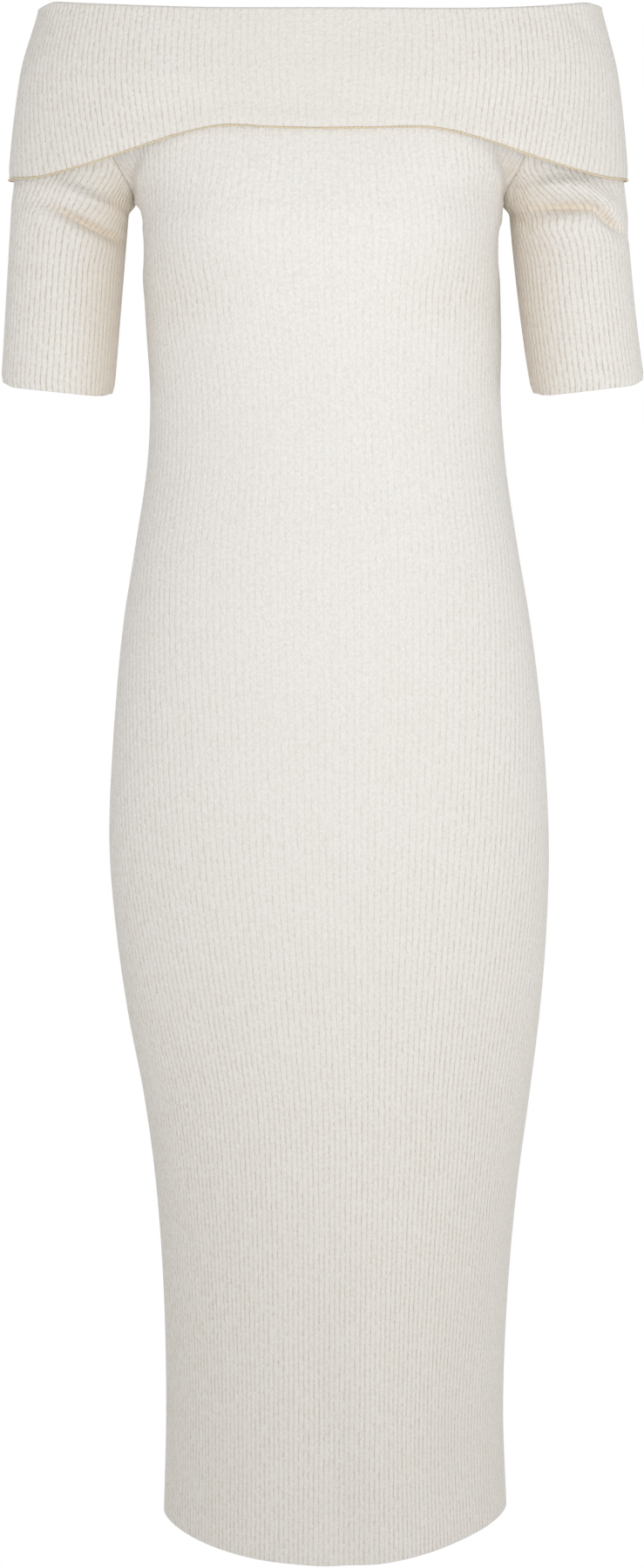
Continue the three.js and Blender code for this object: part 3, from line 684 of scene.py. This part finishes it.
def make_collar(name, settings, material):
    """The collar as a ring of rows: up the inside of the neck, round the fold in half a circle, down
    the ribbed flap, round its edge and back up between the layers."""
    wall, count = settings.wall, settings.collar_ribs
    radius = wall + FLAP_ROOM / 2
    keys = np.append((np.arange(count)[:, None] + RIB_PLACES).ravel(), count - 0.5)
    heights = np.append(np.tile(RIB_HEIGHTS, count), 0.0)
    angle = collar_angle((keys / count) % 1.0)
    sunk = settings.relief * (1 - heights) * mixed(0.95, 0.45, smooth(-np.cos(angle), 0.75, 1))

    def stand(z, out):
        points, outward = ring(NECK, z + 0 * angle, angle)
        points[:, :2] += outward * (out + 0 * angle)[:, None]
        return points

    def flap(part, inwards):
        turned = angle - 0.25 * part**1.5 * np.sin(2 * angle) * np.sin(angle) ** 4
        z = part * (flap_edge(turned) + wall / 2)
        points, outward = ring(FLAP, z, turned)
        height = flap_waves(points[:, 0], points[:, 1], z) - inwards
        points[:, :2] += outward * height[:, None]
        return points

    rows = [stand(z, sunk - wall) for z in np.linspace(NECK_SEAM, -radius, STAND_ROWS)]
    low, high, squeeze = stand(-radius, -wall), flap(0.03, 0), 1 - sunk / radius
    middle = mixed(low, high, 0.5)
    for turn in np.linspace(0, math.pi, FOLD_ROWS + 2)[1:-1]:
        point = middle + (mixed(low, high, (1 - math.cos(turn)) / 2) - middle) * squeeze[:, None]
        point[:, 2] = -radius + radius * math.sin(turn) * squeeze
        rows.append(point)
    for part in np.append(np.linspace(0.03, 0.94, FLAP_ROWS), [0.965, 0.985, 1.0]):
        rows.append(flap(part, sunk + THINNED * smooth(part, 0.94, 1)))
    for turn in np.linspace(0, math.pi, 6)[1:-1]:
        inwards = wall / 2 * (1 - math.cos(turn)) + (sunk + THINNED) * (1 + math.cos(turn)) / 2
        point = flap(1.0, inwards)
        point[:, 2] -= (wall - THINNED) / 2 * math.sin(turn)
        rows.append(point)
    rows += [flap(part, wall) for part in (1.0, 0.8, 0.55, 0.3, 0.08)]
    rows += [stand(-radius, FLAP_ROOM), stand(-radius, 0.0), stand(NECK_SEAM, 0.0)]
    points = np.array(rows)
    x, z = points[..., 0], points[..., 2]
    high = 1.6 * np.exp(-(((x + 140) / 62) ** 2)) - smooth(np.abs(x), 186, 203) * np.where(x < 0, 4.4, 2.8)
    points[..., 0] += 1.6 * smooth(-x, 140, 190) * smooth(z, -45, -3)
    points[..., 2] += high * smooth(z, -60, 0)
    closed = np.concatenate([points, points[:1]])
    run = np.cumsum(np.linalg.norm(np.diff(closed, axis=0), axis=-1), 0)
    v = np.concatenate([np.zeros((1, len(keys))), run]) / settings.rib_pitch
    middle = np.exp(-((closed[..., 0] / 105) ** 2))
    # Painted groove shade is weaker in the collar's middle, and the tan tint a little stronger there
    looks = {"clear": (0.6 - 0.42 * middle).ravel(), "warm": (0.045 + 0.02 * middle).ravel()}
    return make_ring(name, closed, np.tile(keys, (len(closed), 1)), v, material, looks)


def make_collar_edge(name, settings, material):
    """The chain-stitched edge: a tube along the flap's edge, a little wider outwards than high, whose
    radius swells once for each stitch, and whose points are turned a little about the path."""
    stitches = settings.edge_stitches
    share = np.arange(stitches * STITCH_STEPS) / (stitches * STITCH_STEPS)
    angle = collar_angle(share)
    edge = flap_edge(angle)
    points, outward = ring(FLAP, edge, angle)
    inset = flap_waves(points[:, 0], points[:, 1], edge) - settings.wall / 2 + 0.3
    points[:, :2] += outward * inset[:, None]
    points[:, 2] -= 0.35 + 0.3 * waves(31, share * EDGE_LENGTH, 0 * share, (47, 19, 9.0, 5.7))
    turn = np.sin(math.pi * share * stitches)
    uneven = 1 + 0.3 * waves(37, share * EDGE_LENGTH, 0 * share, (13, 7.1, 31))
    radius = settings.edge_radius * (0.62 + 0.55 * np.abs(turn)) * uneven
    around = np.linspace(0, 2 * math.pi, 9) + 0.35 * turn[:, None]
    out, up = radius[:, None] * np.cos(around), radius[:, None] * np.sin(around)
    grid = np.empty((*out.T.shape, 3))
    grid[..., :2] = points[:, :2] + outward * (out * 1.15).T[..., None]
    grid[..., 2] = points[:, 2] + up.T
    grid = np.concatenate([grid, grid[:, :1]], 1)[::-1]
    u, v = np.meshgrid(np.arange(len(share) + 1) / STITCH_STEPS, np.linspace(0, 1, len(grid)))
    return make_ring(name, grid, u, v, material, {})


def linear(code):
    """An sRGB hex colour as linear red, green and blue, with an alpha of 1."""
    parts = [int(code[i : i + 2], 16) / 255 for i in (1, 3, 5)]
    return (*[p / 12.92 if p <= 0.04045 else ((p + 0.055) / 1.055) ** 2.4 for p in parts], 1.0)


def add_node(tree, kind, inputs=(), **settings):
    """Adds a node, gives it its settings, and fills its sockets with values or links them."""
    node = tree.nodes.new(kind)
    for name, value in settings.items():
        setattr(node, name, value)
    for socket, value in dict(inputs).items():
        if isinstance(value, bpy.types.NodeSocket):
            tree.links.new(value, node.inputs[socket])
        else:
            node.inputs[socket].default_value = value
    return node


def reckoned(tree, operation, *values):
    """The result of one step of arithmetic."""
    return add_node(tree, "ShaderNodeMath", dict(enumerate(values)), operation=operation).outputs[0]


def stretched(tree, value, low, high, start=0.0, end=1.0, **settings):
    """The value as it runs from start to end while it goes from low to high."""
    sockets = {"Value": value, "From Min": low, "From Max": high, "To Min": start, "To Max": end}
    return add_node(tree, "ShaderNodeMapRange", sockets, **settings).outputs[0]


def blended(tree, share, start, end):
    """The colour that lies this share of the way between two."""
    sockets = {"Factor": share, "A": start, "B": end}
    return add_node(tree, "ShaderNodeMix", sockets, data_type="RGBA").outputs["Result"]


def noise(tree, place, size, detail, roughness=0.5):
    """Soft noise at a place in metres, whose clumps are this many millimetres wide."""
    sockets = {"Vector": place, "Scale": METRE / size, "Detail": detail, "Roughness": roughness}
    return add_node(tree, "ShaderNodeTexNoise", sockets).outputs["Fac"]


def knit_number(tree):
    """The rib's or stitch's number, which runs on evenly across it."""
    uv = add_node(tree, "ShaderNodeUVMap", uv_map="knit").outputs["UV"]
    return add_node(tree, "ShaderNodeSeparateXYZ", {0: uv}).outputs["X"]


def from_middle(tree, value):
    """How far the value lies from the middle between two whole numbers, from 0 to 0.5."""
    return reckoned(tree, "ABSOLUTE", reckoned(tree, "SUBTRACT", reckoned(tree, "FRACT", value), 0.5))


def new_material(name):
    """An empty node material, its tree, and the place on the object in metres."""
    material = bpy.data.materials.new(name)
    material.use_nodes = True
    tree = material.node_tree
    tree.nodes.clear()
    return material, tree, add_node(tree, "ShaderNodeTexCoord").outputs["Object"]


def matt_fibres(tree, colour, height, strength, depth, sockets):
    """Ends a tree with a matt surface of fibres, which stand up by this depth in millimetres."""
    bumps = {"Height": height, "Strength": strength, "Distance": depth / METRE}
    normal = add_node(tree, "ShaderNodeBump", bumps).outputs["Normal"]
    sockets = {"Base Color": colour, "Specular IOR Level": 0.2, "Normal": normal, **sockets}
    surface = add_node(tree, "ShaderNodeBsdfPrincipled", sockets).outputs["BSDF"]
    add_node(tree, "ShaderNodeOutputMaterial", {"Surface": surface})


def brushed_rib_knit(settings):
    """Thick ribbed knit in brushed wool-blend yarn. The raised ribs are pale and matt, with the fine nubs
    of a looped yarn. Painted shade darkens the pits between the loops, and the grooves between the ribs are
    painted a tan, darker shade."""
    material, tree, place = new_material("brushed_boucle_rib_knit")
    # Loops of the yarn are 1.8 mm wide, so there are 1000 / 1.8 of them in a metre.
    sockets = {"Vector": place, "Scale": METRE / 1.8, "Randomness": 1.0}
    loops = add_node(tree, "ShaderNodeTexVoronoi", sockets, feature="SMOOTH_F1").outputs["Distance"]
    fibres = noise(tree, place, 1.3, 2.0)  # loose fibres cross the grooves every 1.3 mm or so
    clumps = noise(tree, place, 3.5, 3.0, 0.6)  # the brushed fibres clump over about 3.5 mm
    clouds = noise(tree, place, 60, 2.0)  # the dye and the light vary softly over about 60 mm
    ragged = reckoned(tree, "MULTIPLY_ADD", clumps, 0.5, knit_number(tree))
    frayed = reckoned(tree, "MULTIPLY_ADD", fibres, 0.3, ragged)
    far = from_middle(tree, reckoned(tree, "ADD", frayed, 0.1))
    # Painted shade fills the grooves, and the same mask deepens them in the bump
    groove = stretched(tree, far, 0.36, 0.48, interpolation_type="SMOOTHSTEP")
    patchy = reckoned(tree, "MULTIPLY", groove, stretched(tree, clumps, 0.36, 0.62, 0.15, 1.0))
    clear = add_node(tree, "ShaderNodeAttribute", attribute_name="clear").outputs["Fac"]
    # Tan tint, tan seams and painted tan shade about the armpits, inner sleeves, underbust and creases
    warm = add_node(tree, "ShaderNodeAttribute", attribute_name="warm").outputs["Fac"]
    shown = reckoned(tree, "MULTIPLY", patchy, clear)
    cloudy = blended(tree, clouds, settings.rib_colour, settings.shade_colour)
    tinted_and_shaded = blended(tree, warm, cloudy, settings.tint_and_painted_shade_colour)
    # Painted shade in the pits between the yarn's loops
    pit_shaded = blended(tree, stretched(tree, loops, 0.2, 0.7, 0.0, 0.6), tinted_and_shaded, settings.pit_shade_colour)
    colour = blended(tree, shown, pit_shaded, settings.groove_shade_colour)
    tangle = reckoned(tree, "MULTIPLY_ADD", fibres, 0.6, clumps)
    rise = reckoned(tree, "MULTIPLY_ADD", loops, -1.0, tangle)
    sunken = reckoned(tree, "MULTIPLY_ADD", shown, -1.3, rise)
    brushed = {"Roughness": 0.95, "IOR": 1.45, "Sheen Weight": 0.15, "Sheen Roughness": 0.5}
    matt_fibres(tree, colour, sunken, 0.8, settings.nub_height, brushed)
    return material


def linking_yarn(settings):
    """The golden tan yarn of the chain stitches that finish the collar's edge: matt, twisted from fine
    fibres, with painted shade between the stitches."""
    material, tree, place = new_material("tan_twisted_linking_yarn")
    fibres = noise(tree, place, 0.9, 2.0)  # fibres lie in clumps of about 0.9 mm
    # Painted shade between the stitches
    between = stretched(tree, from_middle(tree, knit_number(tree)), 0.2, 0.5)
    colour = blended(tree, between, settings.edge_colour, settings.groove_shade_colour)
    matt_fibres(tree, colour, fibres, 0.6, 0.3, {"Roughness": 0.9, "Sheen Weight": 0.1})
    return material


def shown_white(tree, lit, white):
    """The lit shader as the room meets it, and the white one where the camera looks at it."""
    rays = add_node(tree, "ShaderNodeLightPath").outputs["Is Camera Ray"]
    sockets = {0: rays, 1: lit.outputs[0], 2: white.outputs[0]}
    return add_node(tree, "ShaderNodeMixShader", sockets).outputs[0]


def paper_backdrop():
    """Matt seamless studio paper: white, with no gloss and a barely uneven tone. To the eye it is
    lit evenly up to white, as a sweep with lamps of its own is, and it lights the room as paper."""
    material, tree, place = new_material("matt_white_backdrop_paper")
    tone = noise(tree, place, 1250, 1.0)  # the tone varies over about 1250 mm
    colour = blended(tree, tone, linear("#f7f7f7"), linear("#f3f3f3"))
    paper = add_node(tree, "ShaderNodeBsdfPrincipled", {"Base Color": colour, "Roughness": 1.0})
    glow = add_node(tree, "ShaderNodeEmission", {"Color": (1, 1, 1, 1), "Strength": 1.0})
    add_node(tree, "ShaderNodeOutputMaterial", {"Surface": shown_white(tree, paper, glow)})
    return material


def shared(name, make, *arguments):
    """The material of this name, made the first time that it is asked for."""
    return bpy.data.materials.get(name) or make(*arguments)


def finish_cloth(piece, node):
    """Hands a finished sheet of cloth over to the frame: it rides on the body and stands for its solid."""
    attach(piece, "root")
    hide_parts(node)


def limited(kind, name, description, default, low, high, **unit):
    """A setting of this kind with its limits."""
    return kind(name=name, description=description, default=default, min=low, max=high, **unit)


def millimetres(name, description, default, low, high):
    """A length."""
    return limited(FloatProperty, name, f"{description}, in millimetres", default, low, high)


def watts(name, description, default):
    """The power of a light."""
    return limited(FloatProperty, name, description, default, 0.0, 500.0, unit="POWER")


def colour_of(name, description, code):
    """A colour from its sRGB hex code."""
    return limited(FloatVectorProperty, name, description, linear(code), 0, 1, size=4, subtype="COLOR")


class KnitDressSettings(bpy.types.PropertyGroup):
    """Sizes and colours of the knit and the studio."""

    wall: millimetres("Cloth Thickness", "At the top of a rib", 2.2, 1.0, 3.0)
    relief: millimetres("Rib Relief", "Depth of a groove", 0.45, 0.0, 1.2)
    seam_sink: millimetres("Seam Depth", "How far a seam lies below the ribs", 0.6, 0.0, 1.0)
    rib_pitch: millimetres("Rib Pitch", "Usual width of a rib", 5.6, 3.0, 8.0)
    nub_height: millimetres("Nub Height", "Height of the yarn's loops", 0.6, 0.0, 1.0)
    sleeve_ribs: limited(IntProperty, "Sleeve Ribs", "Ribs round a sleeve", 62, 40, 90)
    collar_ribs: limited(IntProperty, "Collar Ribs", "Ribs round the collar", 208, 120, 300)
    edge_stitches: limited(IntProperty, "Edge Stitches", "Chain stitches round the edge", 380, 200, 600)
    edge_radius: millimetres("Edge Radius", "Radius of the edge's yarn", 0.6, 0.3, 2.0)
    rib_colour: colour_of("Rib Colour", "The raised ribs", "#eeecea")
    shade_colour: colour_of("Shade Colour", "Slightly darker clouds in the ribs", "#eae8e4")
    # Painted shade in the pits between the yarn's loops
    pit_shade_colour: colour_of("Pit Colour", "Between the yarn's loops", "#ded9d1")
    # Tan tint and painted tan shade about the armpits, inner sleeves, underbust and creases; also the
    # seams' colour
    tint_and_painted_shade_colour: colour_of("Warm Colour", "The cloth about the armpits", "#dfc6a0")
    # Painted shade in the grooves and between the edge's stitches
    groove_shade_colour: colour_of("Groove Colour", "The back of the cloth in the grooves", "#d3c1a3")
    edge_colour: colour_of("Edge Colour", "The chain stitches", "#e3d3b2")
    room_light: limited(FloatProperty, "Room Light", "Strength of the even light all round", 0.55, 0.0, 2.0)
    key_light: watts("Key Light", "Power of the front light, which stands low and shines up", 12.4)
    left_light: watts("Left Light", "Power of the light on the picture's left", 4.4)
    right_light: watts("Right Light", "Power of the light on the picture's right", 5.7)
    back_light: watts("Back Light", "Power of the light behind the dress", 22.0)


class DRESS_OT_panels(bpy.types.Operator):
    """Knit the front and back panels"""

    bl_idname = "dress.panels"
    bl_label = "Front and Back Panels"

    def execute(self, context):
        settings = context.scene.knit_dress
        knit = shared("brushed_boucle_rib_knit", brushed_rib_knit, settings)
        for name, side in (("front_panel", "front"), ("back_panel", "back")):
            finish_cloth(make_panel(name, side, settings, knit), side)
        return {"FINISHED"}


class DRESS_OT_sleeves(bpy.types.Operator):
    """Knit the two elbow-length sleeves"""

    bl_idname = "dress.sleeves"
    bl_label = "Sleeves"

    def execute(self, context):
        settings = context.scene.knit_dress
        knit = shared("brushed_boucle_rib_knit", brushed_rib_knit, settings)
        for name, node, hand in (("left_sleeve", "sleeve_left", 1), ("right_sleeve", "sleeve_right", -1)):
            finish_cloth(make_sleeve(name, hand, settings, knit), node)
        return {"FINISHED"}


class DRESS_OT_collar(bpy.types.Operator):
    """Knit the fold-over collar and chain its edge"""

    bl_idname = "dress.collar"
    bl_label = "Collar"

    def execute(self, context):
        settings = context.scene.knit_dress
        knit = shared("brushed_boucle_rib_knit", brushed_rib_knit, settings)
        yarn = shared("tan_twisted_linking_yarn", linking_yarn, settings)
        collar = make_collar("fold_over_collar", settings, knit)
        edge = make_collar_edge("collar_edge", settings, yarn)
        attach(edge, "root")
        finish_cloth(collar, "collar")
        return {"FINISHED"}


# The studio, in metres: the floor's level and half width, the camera's place and its tilt down in
# degrees, and for each light its size, its place and the point that it shines at.
FLOOR_LEVEL, FLOOR_HALF = -1.7, 30.0
CAMERA_PLACE, CAMERA_TILT = (0.0022, -2.3, -0.278), 7.1
LENS, SENSOR = 71.88, 36.0  # in millimetres
LIGHTS = {
    "key_light": ((1.2, 0.7), (0.15, -1.6, -0.34), (0, 0, 0.25)),
    "left_light": ((1.2, 0.9), (-1.9, -0.5, -0.3), (0, 0, 0.4)),
    "right_light": ((1.2, 0.9), (1.9, -0.45, -0.35), (0, 0, 0)),
    "back_light": ((2.0, 1.8), (-0.4, 2.2, 0.4), (0, 0, -0.5)),
}


class DRESS_OT_studio(bpy.types.Operator):
    """Lay the floor, hang the lights and place the camera"""

    bl_idname = "dress.studio"
    bl_label = "Studio"

    def execute(self, context):
        settings, scene = context.scene.knit_dress, context.scene
        half, low = FLOOR_HALF, FLOOR_LEVEL
        corners = [(-half, -half, low), (half, -half, low), (half, half, low), (-half, half, low)]
        mesh = bpy.data.meshes.new("floor")
        mesh.from_pydata(corners, [], [(0, 1, 2, 3)])
        mesh.materials.append(shared("matt_white_backdrop_paper", paper_backdrop))
        floor = placed("floor", mesh)
        scene.world = bpy.data.worlds.new("studio_room")
        scene.world.use_nodes = True
        tree = scene.world.node_tree
        tree.nodes.clear()
        lit, seen = [
            add_node(tree, "ShaderNodeBackground", {"Color": (1, 1, 1, 1), "Strength": strength})
            for strength in (settings.room_light, 1.0)
        ]
        add_node(tree, "ShaderNodeOutputWorld", {"Surface": shown_white(tree, lit, seen)})
        scene.view_settings.view_transform = "Standard"
        for name, (size, place, target) in LIGHTS.items():
            light = bpy.data.lights.new(name, "AREA")
            light.shape, light.energy = "RECTANGLE", getattr(settings, name)
            light.size, light.size_y = size
            lamp = placed(name, light)
            lamp.location = place
            lamp.rotation_euler = (Vector(target) - Vector(place)).to_track_quat("-Z", "Y").to_euler()
        camera = bpy.data.cameras.new("camera")
        camera.lens, camera.sensor_width = LENS, SENSOR
        scene.camera = placed("camera", camera)
        scene.camera.location = CAMERA_PLACE
        scene.camera.rotation_euler = (math.radians(90 - CAMERA_TILT), 0.0, 0.0)
        return {"FINISHED"}


class DRESS_PT_pieces(bpy.types.Panel):
    """Lists the dress's pieces and its settings"""

    bl_label = "Knit Dress"
    bl_space_type = "VIEW_3D"
    bl_region_type = "UI"
    bl_category = "Knit Dress"

    def draw(self, context):
        for operator in OPERATORS:
            self.layout.operator(operator.bl_idname)
        for name in KnitDressSettings.__annotations__:
            self.layout.prop(context.scene.knit_dress, name)


OPERATORS = (DRESS_OT_studio, DRESS_OT_panels, DRESS_OT_sleeves, DRESS_OT_collar)
CLASSES = (KnitDressSettings, *OPERATORS, DRESS_PT_pieces)


def register():
    """Registers the classes and gives each scene the dress's settings."""
    for cls in CLASSES:
        bpy.utils.register_class(cls)
    bpy.types.Scene.knit_dress = PointerProperty(type=KnitDressSettings)


def unregister():
    """Takes them back."""
    del bpy.types.Scene.knit_dress
    for cls in reversed(CLASSES):
        bpy.utils.unregister_class(cls)


def main():
    """Builds the studio and every piece."""
    register()
    bpy.ops.dress.studio()
    bpy.ops.dress.panels()
    bpy.ops.dress.sleeves()
    bpy.ops.dress.collar()


if __name__ == "__main__":
    main()
